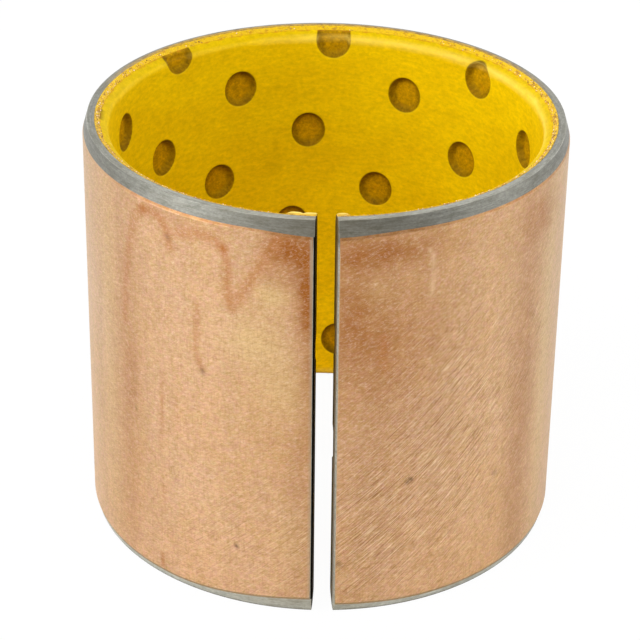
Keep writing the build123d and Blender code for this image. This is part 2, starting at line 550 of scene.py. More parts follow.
# Where dried liquid left lines on the copper, as mm round the outside from the slit and mm up
drying_lines = [
    ([(-13.1, 16.0), (-12.9, 18.6), (-12.7, 19.8), (-12.3, 21.7), (-11.8, 23.1), (-11.2, 23.6)], 0.30, 0.44),
    ([(-11.2, 23.6), (-10.4, 23.75), (-9.7, 23.4), (-9.35, 22.8), (-9.2, 22.0)], 0.30, 0.60),
    ([(-8.7, 22.95), (-7.2, 23.3), (-6.3, 23.2), (-5.75, 22.8)], 0.28, 0.52),
    ([(-5.75, 22.8), (-5.5, 21.8), (-5.55, 20.3), (-5.4, 19.5), (-5.2, 19.2)], 0.26, 0.58),
    ([(-4.9, 19.8), (-4.8, 20.0), (-4.05, 21.4), (-3.4, 22.6), (-2.7, 23.8)], 0.36, 0.55),
    ([(-7.4, 18.9), (-7.43, 17.3), (-7.55, 16.1), (-7.1, 15.0)], 0.18, 0.45),
    ([(-9.85, 13.8), (-10.0, 11.2), (-10.1, 8.8)], 0.12, 0.42),
    ([(-9.9, 6.3), (-10.1, 4.6)], 0.12, 0.35),
    ([(-10.1, 1.5), (-10.15, 0.7)], 0.12, 0.7),
    ([(-8.8, 13.0), (-9.0, 10.4)], 0.12, 0.2),
    ([(3.15, 17.9), (3.1, 16.8), (3.2, 15.8)], 0.22, 0.45),
    ([(14.1, 23.0), (14.6, 21.6), (15.6, 21.2)], 0.35, 0.3),
]
# Browned patches beside the slit, under the top chamfer and on the upper right, and long upright bands of painted
# dark reflection about 13 to 15 mm round from the slit on either side
stain_and_dark_reflection_patches = [
    ((-1.8, 23.4), (1.6, 1.0), 0.80),
    ((-0.9, 21.6), (0.6, 1.5), 0.70),
    ((-0.9, 19.6), (0.7, 1.8), 0.75),
    ((-0.8, 15.5), (0.6, 4.0), 0.30),
    ((-2.4, 22.0), (1.0, 1.3), 0.40),
    ((3.2, 23.2), (3.4, 1.1), 0.55),
    ((1.2, 20.0), (1.2, 3.4), 0.40),
    ((3.4, 18.0), (3.4, 4.0), 0.36),
    ((3.0, 12.0), (4.0, 13.0), 0.26),
    ((-1.6, 12.0), (2.0, 12.0), 0.12),
    ((-1.0, 6.0), (0.9, 6.0), 0.16),
    ((14.4, 22.2), (2.2, 1.4), 0.35),
    ((-13.0, 11.0), (1.3, 12.0), 0.32),
    ((-14.6, 11.0), (0.9, 14.0), 0.10),
    ((13.2, 11.0), (1.4, 14.0), 0.42),
    ((-12.4, 12.5), (0.7, 2.2), 0.16),
    ((-8.0, 23.6), (3.0, 0.5), 0.22),
]
# Paler, yellower patches where the flash is thin, and two long upright strips of painted sheen about 15 mm round
# from the slit on either side
thin_flash_and_sheen_patches = [
    ((-2.9, 20.4), (0.9, 0.8), 0.9),
    ((-3.9, 17.4), (1.8, 1.6), 0.7),
    ((-2.2, 14.6), (1.6, 2.2), 0.6),
    ((-1.6, 5.0), (1.4, 2.2), 0.4),
    ((2.2, 20.4), (1.2, 1.0), 0.6),
    ((-14.8, 14.0), (1.0, 14.0), 0.4),
    ((15.9, 12.0), (0.9, 14.0), 0.5),
]
# How deep slanting rub marks score the copper: a little everywhere, deepest at the lower right
scored_patches = [
    ((0.0, 12.0), (60.0, 60.0), 0.35),
    ((8.0, 11.0), (5.0, 8.0), 0.65),
    ((3.0, 5.0), (4.0, 5.0), 0.55),
    ((-5.0, 4.0), (5.0, 5.0), 0.25),
    ((16.0, 16.0), (3.0, 5.0), 0.4),
]
# A raised crease that catches the light
creases = [
    ([(5.62, 22.9), (5.82, 22.3), (5.94, 21.5), (5.86, 20.7), (5.72, 20.1)], 0.12, 0.34),
]
# Small dark pits in the copper
pits = [
    ((-5.0, 3.9), (0.10, 0.14), 0.9),
    ((4.95, 8.5), (0.17, 0.14), 0.8),
    ((4.75, 8.3), (0.12, 0.12), 0.5),
    ((0.86, 3.3), (0.16, 0.16), 0.9),
    ((10.9, 7.0), (0.14, 0.14), 0.7),
    ((-7.1, 14.9), (0.14, 0.22), 0.6),
    ((-12.2, 10.6), (0.10, 0.12), 0.5),
    ((-9.3, 22.5), (0.16, 0.18), 0.5),
]
# Acetal torn up pale beside the slit, and loose crumbs of it, at the same kind of places
torn_patches = [
    ((-1.0, 24.95), (0.5, 0.25), 0.8),
    ((-1.9, 24.9), (0.5, 0.4), 0.9),
    ((0.8, 24.95), (0.4, 0.25), 0.8),
    ((-18.4, 24.35), (0.10, 0.10), 0.9),
    ((-17.4, 24.3), (0.12, 0.08), 0.9),
    ((-17.9, 24.6), (0.08, 0.08), 0.8),
]
# A dark sliver in the mouth chamfer on the left, where the chamfer cut an indent away: the indent's grease with
# painted shade of its hollow
slivers = [
    ([(-22.6, 24.80), (-21.2, 24.80)], 0.06, 0.9),
]
# Where the chamfering tool wiped an indent nearly clean
wiped_patches = [
    ((24.9, 24.7), (1.0, 1.2), 0.95),
]
# Faint smudges on the bore
bore_smudges = [
    ((-41.2, 18.4), (0.45, 0.10), 0.6),
    ((-40.6, 17.3), (0.18, 0.5), 0.35),
    ((-40.4, 15.9), (0.6, 0.5), 0.3),
    ((-40.7, 21.3), (0.8, 0.12), 0.4),
    ((-31.9, 21.0), (0.25, 0.4), 0.4),
    ((-35.8, 16.4), (0.3, 0.1), 0.4),
    ((38.6, 18.6), (0.5, 0.35), 0.25),
    ((34.6, 20.6), (0.9, 0.25), 0.2),
]


# Finishes

def new_finish(name):
    """An empty material and its node tree"""
    material = bpy.data.materials.new(name)
    material.use_nodes = True
    material.node_tree.nodes.clear()
    return material, material.node_tree


def unrolled(tree):
    """The surface laid flat as seen from outside: mm to the right round the bush from the line opposite
    the slit, mm up and mm from the axis"""
    place = add(tree, "ShaderNodeSeparateXYZ", {0: add(tree, "ShaderNodeTexCoord").outputs["Object"]})
    to_left = add(tree, "ShaderNodeMath", {0: place.outputs["X"], 1: -1.0}, operation="MULTIPLY")
    angle = add(tree, "ShaderNodeMath", {0: to_left, 1: place.outputs["Y"]}, operation="ARCTAN2")
    arc = add(tree, "ShaderNodeMath", {0: angle, 1: outer_radius}, operation="MULTIPLY")
    height = add(tree, "ShaderNodeMath", {0: place.outputs["Z"], 1: MM}, operation="DIVIDE")
    flat = add(tree, "ShaderNodeCombineXYZ", {"X": place.outputs["X"], "Y": place.outputs["Y"]})
    distance = add(tree, "ShaderNodeVectorMath", {0: flat}, operation="LENGTH").outputs["Value"]
    radius = add(tree, "ShaderNodeMath", {0: distance, 1: MM}, operation="DIVIDE")
    return add(tree, "ShaderNodeCombineXYZ", {"X": arc, "Y": height, "Z": radius}).outputs[0]


def grain(tree, place, size, detail=2.0, roughness=0.5, rise=0.0):
    """Noise on the unrolled surface, with a grain of that size in mm along the arc, the height and the
    wall, whose length rises to the right at that angle"""
    turned = add(tree, "ShaderNodeMapping", {"Vector": place, "Rotation": (0, 0, -rise)})
    scaled = add(tree, "ShaderNodeMapping", {"Vector": turned, "Scale": [1 / s for s in size]})
    noise = add(tree, "ShaderNodeTexNoise",
                {"Vector": scaled, "Scale": 1.0, "Detail": detail, "Roughness": roughness})
    return noise.outputs[0]


def over(tree, below, above, value, low, high, most=1.0):
    """Lays a colour over another as a value goes from low to high, up to a share: sockets or sRGB hex values"""
    below, above = (linear(c) if isinstance(c, str) else c for c in (below, above))
    share = add(tree, "ShaderNodeMapRange", {"Value": value, "From Min": low, "From Max": high, "To Max": most})
    return add(tree, "ShaderNodeMix", {0: share, 6: below, 7: above}, data_type="RGBA").outputs[2]


def shaded(tree, colour, value, low, high, at_low, at_high):
    """Multiplies a colour by a level that goes from one to another as a value goes from low to high"""
    level = add(tree, "ShaderNodeMapRange", {"Value": value, "From Min": low, "From Max": high,
                                             "To Min": at_low, "To Max": at_high})
    return add(tree, "ShaderNodeVectorMath", {0: colour, "Scale": level}, operation="SCALE").outputs[0]


def slit_face(tree, side):
    """One on the cut face at the slit, its broken corner included, whose normal points to that side
    along X, and nought elsewhere"""
    coordinates = add(tree, "ShaderNodeTexCoord")
    normal = add(tree, "ShaderNodeSeparateXYZ", {0: coordinates.outputs["Normal"]})
    place = add(tree, "ShaderNodeSeparateXYZ", {0: coordinates.outputs["Object"]})
    facing = add(tree, "ShaderNodeMath", {0: normal.outputs["X"], 1: side}, operation="MULTIPLY")
    square_on = add(tree, "ShaderNodeMath", {0: facing, 1: 0.6}, operation="GREATER_THAN")
    off_middle = add(tree, "ShaderNodeMath", {0: place.outputs["X"]}, operation="ABSOLUTE")
    near = add(tree, "ShaderNodeMath", {0: off_middle, 1: slit_gap * MM}, operation="LESS_THAN")
    front = add(tree, "ShaderNodeMath", {0: place.outputs["Y"], 1: 0.0}, operation="LESS_THAN")
    at_slit = add(tree, "ShaderNodeMath", {0: near, 1: front}, operation="MULTIPLY")
    return add(tree, "ShaderNodeMath", {0: square_on, 1: at_slit}, operation="MULTIPLY").outputs[0]


def copper_flash():
    """Copper, electroplated a few micrometres thick on rolled steel and never polished: a pinkish
    satin with the strip's fine grain, slanting rub marks, and the lines of dried liquid"""
    material, tree = new_finish("copper_flash_satin")
    place = unrolled(tree)
    parts = add(tree, "ShaderNodeSeparateXYZ", {0: place})
    cloud = grain(tree, place, (6.0, 9.0, 9.0), 3.0, 0.6)
    tone = over(tree, "#D0A984", "#CDA376", cloud, 0.35, 0.65)
    # Painted reflection: a little lighter towards the foot, where the copper mirrors the white table close by, and
    # a little darker towards the top
    tone = shaded(tree, tone, parts.outputs["Y"], 0.0, length, 1.08, 0.97)
    streaks = grain(tree, place, (1.1, 30.0, 9.0), 2.0, 0.5)
    tone = shaded(tree, tone, streaks, 0.3, 0.7, 0.95, 1.04)
    tone = over(tree, tone, "#C49A5C", parts.outputs["X"], -20.0, -34.0, 0.13)

    # The flash is thin, so it goes from pink to straw over the strip's own grain, which is finer
    # than the render shows and is drawn at a fifth of a millimetre
    blush = grain(tree, place, (0.30, 0.26, 0.3), 3.0, 0.75)
    tone = over(tree, tone, "#D4A08E", blush, 0.50, 0.66, 0.50)
    tone = over(tree, tone, "#C2A468", blush, 0.50, 0.34, 0.55)
    mottle = grain(tree, place, (0.9, 0.9, 0.9), 4.0, 0.65)
    tone = shaded(tree, tone, mottle, 0.3, 0.7, 1.06, 0.94)

    # Stains, uneven as the flash under them, and painted light: a paler sheen and darker reflections in long
    # upright strips about 13 to 16 mm round from the slit on either side
    thin_flash_and_sheen = add(tree, "ShaderNodeAttribute", attribute_name="pale").outputs["Fac"]
    tone = over(tree, tone, "#D9BA84", thin_flash_and_sheen, 0.0, 1.0)
    mottling = add(tree, "ShaderNodeMapRange", {"Value": mottle, "From Min": 0.3, "From Max": 0.7,
                                                "To Min": 0.80, "To Max": 1.25})
    # Browned stains, with painted dark reflections in the long upright bands at the sides
    browned_and_dark_reflection = add(tree, "ShaderNodeAttribute", attribute_name="browned_and_dark_reflection").outputs["Fac"]
    stain_and_dark_reflection = add(tree, "ShaderNodeMath", {0: browned_and_dark_reflection, 1: mottling}, operation="MULTIPLY")
    tone = over(tree, tone, "#9A5A22", stain_and_dark_reflection, 0.0, 1.0)
    dried = add(tree, "ShaderNodeAttribute", attribute_name="dried").outputs["Fac"]
    tone = over(tree, tone, "#B06E3A", dried, 0.0, 1.0)
    speckle = grain(tree, place, (0.20, 0.15, 0.3), 3.0, 0.8)
    tone = over(tree, tone, "#94642F", speckle, 0.50, 0.25, 0.42)
    tone = over(tree, tone, "#F4E2CE", speckle, 0.52, 0.75, 0.34)
    weave = grain(tree, place, (0.7, 0.12, 1.0), 2.0, 0.6)
    tone = shaded(tree, tone, weave, 0.35, 0.7, 1.04, 0.92)
    warp = grain(tree, place, (0.11, 0.9, 1.0), 2.0, 0.6)
    tone = over(tree, tone, "#9A6A38", warp, 0.52, 0.75, 0.30)

    # Rub marks, each a dark scratch beside a painted highlight on its raised edge: shallow ones all over, and
    # steeper and longer ones where the bush was rubbed hardest
    brushed = grain(tree, place, (0.5, 0.09, 1.0), 2.0, 0.6, radians(24))
    tone = over(tree, tone, "#94642F", brushed, 0.50, 0.80, 0.24)
    tone = over(tree, tone, "#F0D4B0", brushed, 0.50, 0.20, 0.18)
    rub = grain(tree, place, (0.90, 0.075, 1.0), 2.0, 0.55, radians(43))
    scored = add(tree, "ShaderNodeAttribute", attribute_name="scored").outputs["Fac"]
    off_mean = add(tree, "ShaderNodeMath", {0: rub, 1: 0.5}, operation="SUBTRACT")
    scratches = add(tree, "ShaderNodeMath", {0: off_mean, 1: scored}, operation="MULTIPLY")
    tone = over(tree, tone, "#86562A", scratches, 0.03, 0.17, 0.45)
    tone = over(tree, tone, "#F2DAB8", scratches, -0.03, -0.17, 0.35)
    long_rub = grain(tree, place, (2.6, 0.065, 1.0), 1.0, 0.5, radians(42))
    long_off_mean = add(tree, "ShaderNodeMath", {0: long_rub, 1: 0.5}, operation="SUBTRACT")
    cut_deep = add(tree, "ShaderNodeMath", {0: long_off_mean, 1: scored}, operation="MULTIPLY")
    tone = over(tree, tone, "#74481F", cut_deep, 0.09, 0.16, 0.45)
    tone = over(tree, tone, "#FAE6CC", cut_deep, -0.09, -0.16, 0.24)
    pitted = add(tree, "ShaderNodeAttribute", attribute_name="pitted").outputs["Fac"]
    tone = over(tree, tone, "#5E4630", pitted, 0.0, 1.0)
    # A painted highlight along the raised crease
    creased = add(tree, "ShaderNodeAttribute", attribute_name="creased").outputs["Fac"]
    tone = over(tree, tone, "#F0D2B0", creased, 0.0, 1.0)

    # Bare steel shows through where the left edge at the slit is worn, most of all near its top. The
    # flash ends so far round from the back there at the foot, and a little short of it at the top
    plating_end = 43.24
    short_at_top = 0.11
    levelled = add(tree, "ShaderNodeMath", {0: parts.outputs["Y"], 1: short_at_top / length,
                                            2: parts.outputs["X"]}, operation="MULTIPLY_ADD")
    worn_through = add(tree, "ShaderNodeMapRange", {"Value": levelled, "From Min": plating_end - 0.18,
                                                    "From Max": plating_end - 0.07})
    near_top = add(tree, "ShaderNodeMapRange", {"Value": parts.outputs["Y"], "From Min": length - 7.0,
                                                "From Max": length - 3.0, "To Min": 0.45, "To Max": 1.0})
    edge_wear = add(tree, "ShaderNodeMath", {0: worn_through, 1: near_top}, operation="MULTIPLY")
    tone = over(tree, tone, "#A89A84", edge_wear, 0.0, 1.0, 0.75)

    # The flash's cut edge is orange brown at the top, where the lathe dragged it, olive at the foot
    # and pale along the slit
    cut_edge = over(tree, "#6E6848", "#C8AA88", parts.outputs["Y"], 1.0, 1.4)
    dragged = grain(tree, place, (0.5, 0.3, 0.3), 3.0, 0.7)
    orange = over(tree, "#BE8E5E", "#9C6028", dragged, 0.40, 0.58)
    left_of_front = add(tree, "ShaderNodeMapRange", {"Value": parts.outputs["X"], "From Min": 33.0,
                                                     "From Max": 28.0})
    right_of_back = add(tree, "ShaderNodeMapRange", {"Value": parts.outputs["X"], "From Min": -20.0,
                                                     "From Max": 0.0})
    far_left = add(tree, "ShaderNodeMath", {0: left_of_front, 1: right_of_back}, operation="MULTIPLY")
    orange = over(tree, orange, "#CFAC88", far_left, 0.0, 1.0, 0.9)
    cut_edge = over(tree, cut_edge, orange, parts.outputs["Y"], length - 2.0, length - 1.6)
    tone = over(tree, tone, cut_edge, parts.outputs["Z"], outer_radius - 0.002, outer_radius - 0.02, 0.55)
    gloss = add(tree, "ShaderNodeMapRange", {"Value": speckle, "From Min": 0.3, "From Max": 0.7,
                                             "To Min": 0.42, "To Max": 0.54})
    relief = add(tree, "ShaderNodeMath", {0: scratches, 1: -2.0, 2: speckle}, operation="MULTIPLY_ADD")
    bump = add(tree, "ShaderNodeBump", {"Strength": 0.45, "Distance": 0.00003, "Height": relief})
    shader = add(tree, "ShaderNodeBsdfPrincipled",
                 {"Base Color": tone, "Metallic": 1.0, "Roughness": gloss,
                  "Specular Tint": linear("#F2FDFF"), "Normal": bump})
    add(tree, "ShaderNodeOutputMaterial", {"Surface": shader})
    return material


def turned_steel():
    """Low-carbon steel strip, faced and chamfered on a lathe: grey and granular with faint rings round
    the axis, smeared with bronze on the back of the end faces, and painted black as shade on one side of the slit"""
    material, tree = new_finish("mild_steel_turned")
    place = unrolled(tree)
    rings = grain(tree, place, (2.0, 0.08, 0.07), 3.0, 0.6)
    tone = over(tree, "#8C8C83", "#A3A299", rings, 0.3, 0.7)
    grit = grain(tree, place, (0.24, 0.11, 0.11), 3.0, 0.75)
    tone = shaded(tree, tone, grit, 0.3, 0.7, 0.76, 1.20)
    blotch = grain(tree, place, (1.2, 0.35, 0.3), 3.0, 0.6)
    tone = over(tree, tone, "#6A6656", blotch, 0.45, 0.75, 0.5)
    parts = add(tree, "ShaderNodeSeparateXYZ", {0: place})
    depth = parts.outputs["Z"]
    # Painted reflection: the steel is lighter below the top chamfer, where it mirrors the white table, and darker
    # on the top chamfer and end face, which mirror the dim room
    tone = shaded(tree, tone, parts.outputs["Y"], length - 1.6, length - 1.2, 1.50, 0.70)
    # Painted shade: darker along the very foot, where the bush stands on the table
    tone = shaded(tree, tone, parts.outputs["Y"], 0.03, 0.12, 0.45, 1.0)

    # Painted light on the steel: the end faces, which look up, are made much lighter, less so round the sides and
    # back and most beside the slit, and the rest a little lighter. All the steel is also browner near the slit
    facing = add(tree, "ShaderNodeSeparateXYZ", {0: add(tree, "ShaderNodeTexCoord").outputs["Normal"]})
    tone = shaded(tree, tone, facing.outputs["Z"], 0.4, 0.8, 1.0, 1.85)
    level_face = add(tree, "ShaderNodeMath", {0: facing.outputs["Z"], 1: 0.8}, operation="GREATER_THAN")
    off_back = add(tree, "ShaderNodeMath", {0: parts.outputs["X"]}, operation="ABSOLUTE")
    tone = over(tree, tone, "#6A5C3C", off_back, 37.0, 43.0, 0.25)
    at_side = add(tree, "ShaderNodeMapRange", {"Value": off_back, "From Min": 36.0, "From Max": 26.0})
    side_face = add(tree, "ShaderNodeMath", {0: at_side, 1: level_face}, operation="MULTIPLY")
    tone = shaded(tree, tone, side_face, 0.0, 1.0, 1.06, 0.76)
    at_front = add(tree, "ShaderNodeMapRange", {"Value": off_back, "From Min": 37.0, "From Max": 41.0})
    front_face = add(tree, "ShaderNodeMath", {0: at_front, 1: level_face}, operation="MULTIPLY")
    tone = shaded(tree, tone, front_face, 0.0, 1.0, 1.0, 1.12)
    # Bronze and acetal that the facing tool dragged outwards over the end face, opposite the slit
    at_back = add(tree, "ShaderNodeMapRange", {"Value": off_back, "From Min": 19.0, "From Max": 11.0})
    inwards = add(tree, "ShaderNodeMapRange", {"Value": depth, "From Min": bronze_radius + 0.36,
                                               "From Max": bronze_radius + 0.18})
    reach = add(tree, "ShaderNodeMath", {0: at_back, 1: inwards}, operation="MULTIPLY")
    dragged = add(tree, "ShaderNodeMath", {0: reach, 1: level_face}, operation="MULTIPLY")
    smear = grain(tree, place, (0.5, 0.2, 0.2), 3.0, 0.7)
    bronzed = over(tree, "#A07A28", "#DDB01C", smear, 0.42, 0.56)
    tone = over(tree, tone, bronzed, dragged, 0.0, 1.0, 0.9)

    # The left cut face is painted black and not metallic as shade, up to a thin bright line along its outer corner
    torn = add(tree, "ShaderNodeMapRange", {"Value": depth, "From Min": steel_radius,
                                            "From Max": steel_radius - 0.03})
    left_face_shade = add(tree, "ShaderNodeMath", {0: slit_face(tree, 1), 1: torn}, operation="MULTIPLY")
    tone = over(tree, tone, "#100D09", left_face_shade, 0.0, 1.0)
    bare_metal = add(tree, "ShaderNodeMath", {0: 1.0, 1: left_face_shade}, operation="SUBTRACT")
    bump = add(tree, "ShaderNodeBump", {"Strength": 0.5, "Distance": 0.00002, "Height": grit})
    shader = add(tree, "ShaderNodeBsdfPrincipled",
                 {"Base Color": tone, "Metallic": bare_metal, "Roughness": 0.5, "Specular IOR Level": 0.0,
                  "Normal": bump})
    add(tree, "ShaderNodeOutputMaterial", {"Surface": shader})
    return material


def sintered_bronze():
    """Tin bronze powder, sintered on the steel and cut through by the mouth chamfer: golden cut grains,
    dark pores between them, and acetal that the tool dragged across both"""
    material, tree = new_finish("tin_bronze_sintered")
    place = unrolled(tree)
    powder = add(tree, "ShaderNodeTexVoronoi",
                 {"Vector": place, "Scale": 1 / grain_size, "Randomness": 1.0}, feature="F1")
    kind = add(tree, "ShaderNodeSeparateColor", {0: powder.outputs["Color"]})
    tone = over(tree, "#9C7420", "#D2AE48", kind.outputs[0], 0.0, 1.0)
    tone = over(tree, tone, "#6A4720", powder.outputs["Distance"], 0.50, 0.90)
    dragged = grain(tree, place, (0.55, 0.25, 0.25), 3.0, 0.7)
    off_back = add(tree, "ShaderNodeMath", {0: add(tree, "ShaderNodeSeparateXYZ", {0: place}).outputs["X"]},
                   operation="ABSOLUTE")
    more_at_back = add(tree, "ShaderNodeMapRange", {"Value": off_back, "From Min": 24.0, "From Max": 12.0,
                                                    "To Max": 0.14})
    covered = add(tree, "ShaderNodeMath", {0: dragged, 1: more_at_back})
    tone = over(tree, tone, "#E2BA14", covered, 0.42, 0.54)
    burnt = grain(tree, place, (0.35, 0.22, 0.22), 3.0, 0.7)
    tone = over(tree, tone, "#A8641C", burnt, 0.52, 0.68, 0.6)
    # Painted shade makes the left cut face black; the right cut face is made dark grey
    tone = over(tree, tone, "#100D09", slit_face(tree, 1), 0.0, 1.0)
    tone = over(tree, tone, "#2E2A22", slit_face(tree, -1), 0.0, 1.0, 0.9)
    bump = add(tree, "ShaderNodeBump", {"Strength": 0.6, "Distance": 0.00005,
                                        "Height": powder.outputs["Distance"]}, invert=True)
    shader = add(tree, "ShaderNodeBsdfPrincipled",
                 {"Base Color": tone, "Metallic": 0.4, "Roughness": 0.55, "Specular IOR Level": 0.2,
                  "Normal": bump})
    add(tree, "ShaderNodeOutputMaterial", {"Surface": shader})
    return material


def bronze_powder():
    """Single grains of the same powder, each with its own tone from brown through gold to cream"""
    material, tree = new_finish("tin_bronze_powder")
    tone_share = add(tree, "ShaderNodeAttribute", attribute_name="grain_tone").outputs["Fac"]
    tones = add(tree, "ShaderNodeValToRGB", {0: tone_share})
    stops = tones.color_ramp.elements
    stops[0].color = linear("#6B4420")
    stops[1].color = linear("#F8EBD8")
    for where, colour in ((0.20, "#B07A34"), (0.48, "#D9A850"), (0.72, "#E9CBA2")):
        stops.new(where).color = linear(colour)
    shader = add(tree, "ShaderNodeBsdfPrincipled",
                 {"Base Color": tones.outputs[0], "Metallic": 0.4, "Roughness": 0.4})
    add(tree, "ShaderNodeOutputMaterial", {"Surface": shader})
    return material


def rolled_acetal():
    """Acetal copolymer, rolled on in the strip and left as rolled: a deep matte yellow with a fine
    grain round the bore, with old grease and painted shade in the pressed indents"""
    material, tree = new_finish("acetal_yellow_rolled")
    place = unrolled(tree)
    cloud = grain(tree, place, (4.0, 3.0, 3.0), 3.0, 0.6)
    tone = over(tree, "#E0BA00", "#E9C600", cloud, 0.3, 0.7)
    fibre = grain(tree, place, (0.50, 0.22, 0.4), 3.0, 0.65)
    tone = shaded(tree, tone, fibre, 0.3, 0.7, 0.85, 1.08)
    speckle = grain(tree, place, (0.19, 0.16, 0.3), 3.0, 0.65)
    tone = shaded(tree, tone, speckle, 0.3, 0.7, 0.91, 1.05)
    parts = add(tree, "ShaderNodeSeparateXYZ", {0: place})
    # Painted light: up to a third lighter towards the foot, where the bore lies deep in shade
    tone = shaded(tree, tone, parts.outputs["Y"], 0.75 * length, 0.0, 1.0, 1.32)
    smudged = add(tree, "ShaderNodeAttribute", attribute_name="smudged").outputs["Fac"]
    tone = over(tree, tone, "#8A6A00", smudged, 0.0, 1.0, 0.6)

    # The indents hold old grease, olive brown, with painted light and shade over it: a painted glint just below
    # each indent, painted shade deepening towards the rim inside, a painted shadow under the upper edge and a
    # little painted shade on the lower wall
    from_indent = add(tree, "ShaderNodeAttribute", attribute_name="from_indent").outputs["Fac"]
    above_indent = add(tree, "ShaderNodeAttribute", attribute_name="above_indent").outputs["Fac"]
    nearing = add(tree, "ShaderNodeMapRange", {"Value": from_indent, "From Min": 1.25, "From Max": 1.02})
    below_rim = add(tree, "ShaderNodeMath", {0: nearing, 1: above_indent}, operation="MULTIPLY")
    tone = over(tree, tone, "#EFD040", below_rim, -0.45, -1.0, 0.12)
    grease_and_shade = over(tree, "#A27A00", "#CE9E00", speckle, 0.3, 0.7)
    blotch = grain(tree, place, (0.40, 0.40, 0.40), 3.0, 0.7)
    grease_and_shade = shaded(tree, grease_and_shade, blotch, 0.3, 0.7, 0.72, 1.22)
    rusty = grain(tree, place, (0.6, 0.5, 0.5), 2.0, 0.6)
    grease_and_shade = over(tree, grease_and_shade, "#A8600A", rusty, 0.60, 0.78, 0.4)
    grease_and_shade = shaded(tree, grease_and_shade, from_indent, 0.55, 0.90, 1.0, 0.55)
    under_edge = add(tree, "ShaderNodeMath", {0: from_indent, 1: above_indent}, operation="MULTIPLY")
    grease_and_shade = over(tree, grease_and_shade, "#4E3A00", under_edge, 0.40, 0.92, 0.6)
    grease_and_shade = shaded(tree, grease_and_shade, under_edge, -0.60, -0.95, 1.0, 0.90)
    wiped = add(tree, "ShaderNodeAttribute", attribute_name="wiped").outputs["Fac"]
    clean = add(tree, "ShaderNodeMath", {0: from_indent, 1: wiped})
    tone = over(tree, tone, grease_and_shade, clean, 1.05, 0.99)

    # The mouth chamfer: darkened with painted shade so that it is not as bright as its slope makes it, with bronze
    # dust and torn acetal along the rim, and a patchy painted highlight along the crease where it meets the bore,
    # fullest on one side
    off_half = add(tree, "ShaderNodeMath", {0: parts.outputs["Y"], 1: length / 2}, operation="SUBTRACT")
    to_end = add(tree, "ShaderNodeMath", {0: off_half}, operation="ABSOLUTE")
    tone = shaded(tree, tone, to_end, length / 2 - 0.52, length / 2 - 0.40, 1.0, 0.85)
    creased = add(tree, "ShaderNodeMapRange", {"Value": to_end, "From Min": length / 2 - 1.10,
                                               "From Max": length / 2 - 0.60})
    short_of_rim = add(tree, "ShaderNodeMapRange", {"Value": to_end, "From Min": length / 2 - 0.24,
                                            "From Max": length / 2 - 0.50})
    pale_crease = add(tree, "ShaderNodeMath", {0: creased, 1: short_of_rim}, operation="MULTIPLY")
    patchy = grain(tree, place, (3.0, 0.35, 0.35), 3.0, 0.6)
    by_side = add(tree, "ShaderNodeMapRange", {"Value": parts.outputs["X"], "From Min": 6.0, "From Max": -3.0,
                                               "To Min": 0.35, "To Max": 1.0})
    pale_there = add(tree, "ShaderNodeMath", {0: pale_crease, 1: patchy}, operation="MULTIPLY")
    pale_by_side = add(tree, "ShaderNodeMath", {0: pale_there, 1: by_side}, operation="MULTIPLY")
    tone = over(tree, tone, "#F0D668", pale_by_side, 0.10, 0.75, 0.62)
    near_rim = add(tree, "ShaderNodeMapRange", {"Value": to_end, "From Min": length / 2 - 0.40,
                                                "From Max": length / 2 - 0.16})
    smear = grain(tree, place, (0.5, 0.2, 0.2), 3.0, 0.7)
    smeared = add(tree, "ShaderNodeMath", {0: near_rim, 1: smear}, operation="MULTIPLY")
    tone = over(tree, tone, "#BE7C1A", smeared, 0.36, 0.56, 0.8)
    torn = add(tree, "ShaderNodeAttribute", attribute_name="torn").outputs["Fac"]
    tone = over(tree, tone, "#F3DC70", torn, 0.0, 1.0)
    # The dark sliver: grease and painted shade of a cut-away indent
    shadowed = add(tree, "ShaderNodeAttribute", attribute_name="slivered").outputs["Fac"]
    tone = over(tree, tone, "#5A4300", shadowed, 0.0, 1.0)
    # Painted shade makes the left cut face black; the right cut face is made dark grey
    tone = over(tree, tone, "#100D09", slit_face(tree, 1), 0.0, 1.0)
    tone = over(tree, tone, "#2E2A22", slit_face(tree, -1), 0.0, 1.0, 0.9)
    bump = add(tree, "ShaderNodeBump", {"Strength": 0.35, "Distance": 0.00004, "Height": fibre})
    shader = add(tree, "ShaderNodeBsdfPrincipled",
                 {"Base Color": tone, "Roughness": 0.62, "IOR": 1.48, "Specular IOR Level": 0.05,
                  "Normal": bump})
    add(tree, "ShaderNodeOutputMaterial", {"Surface": shader})
    return material


copper_finish = copper_flash()
steel_finish = turned_steel()
bronze_finish = sintered_bronze()
powder_finish = bronze_powder()
acetal_finish = rolled_acetal()


# Bronze grains that stand out of the cut faces

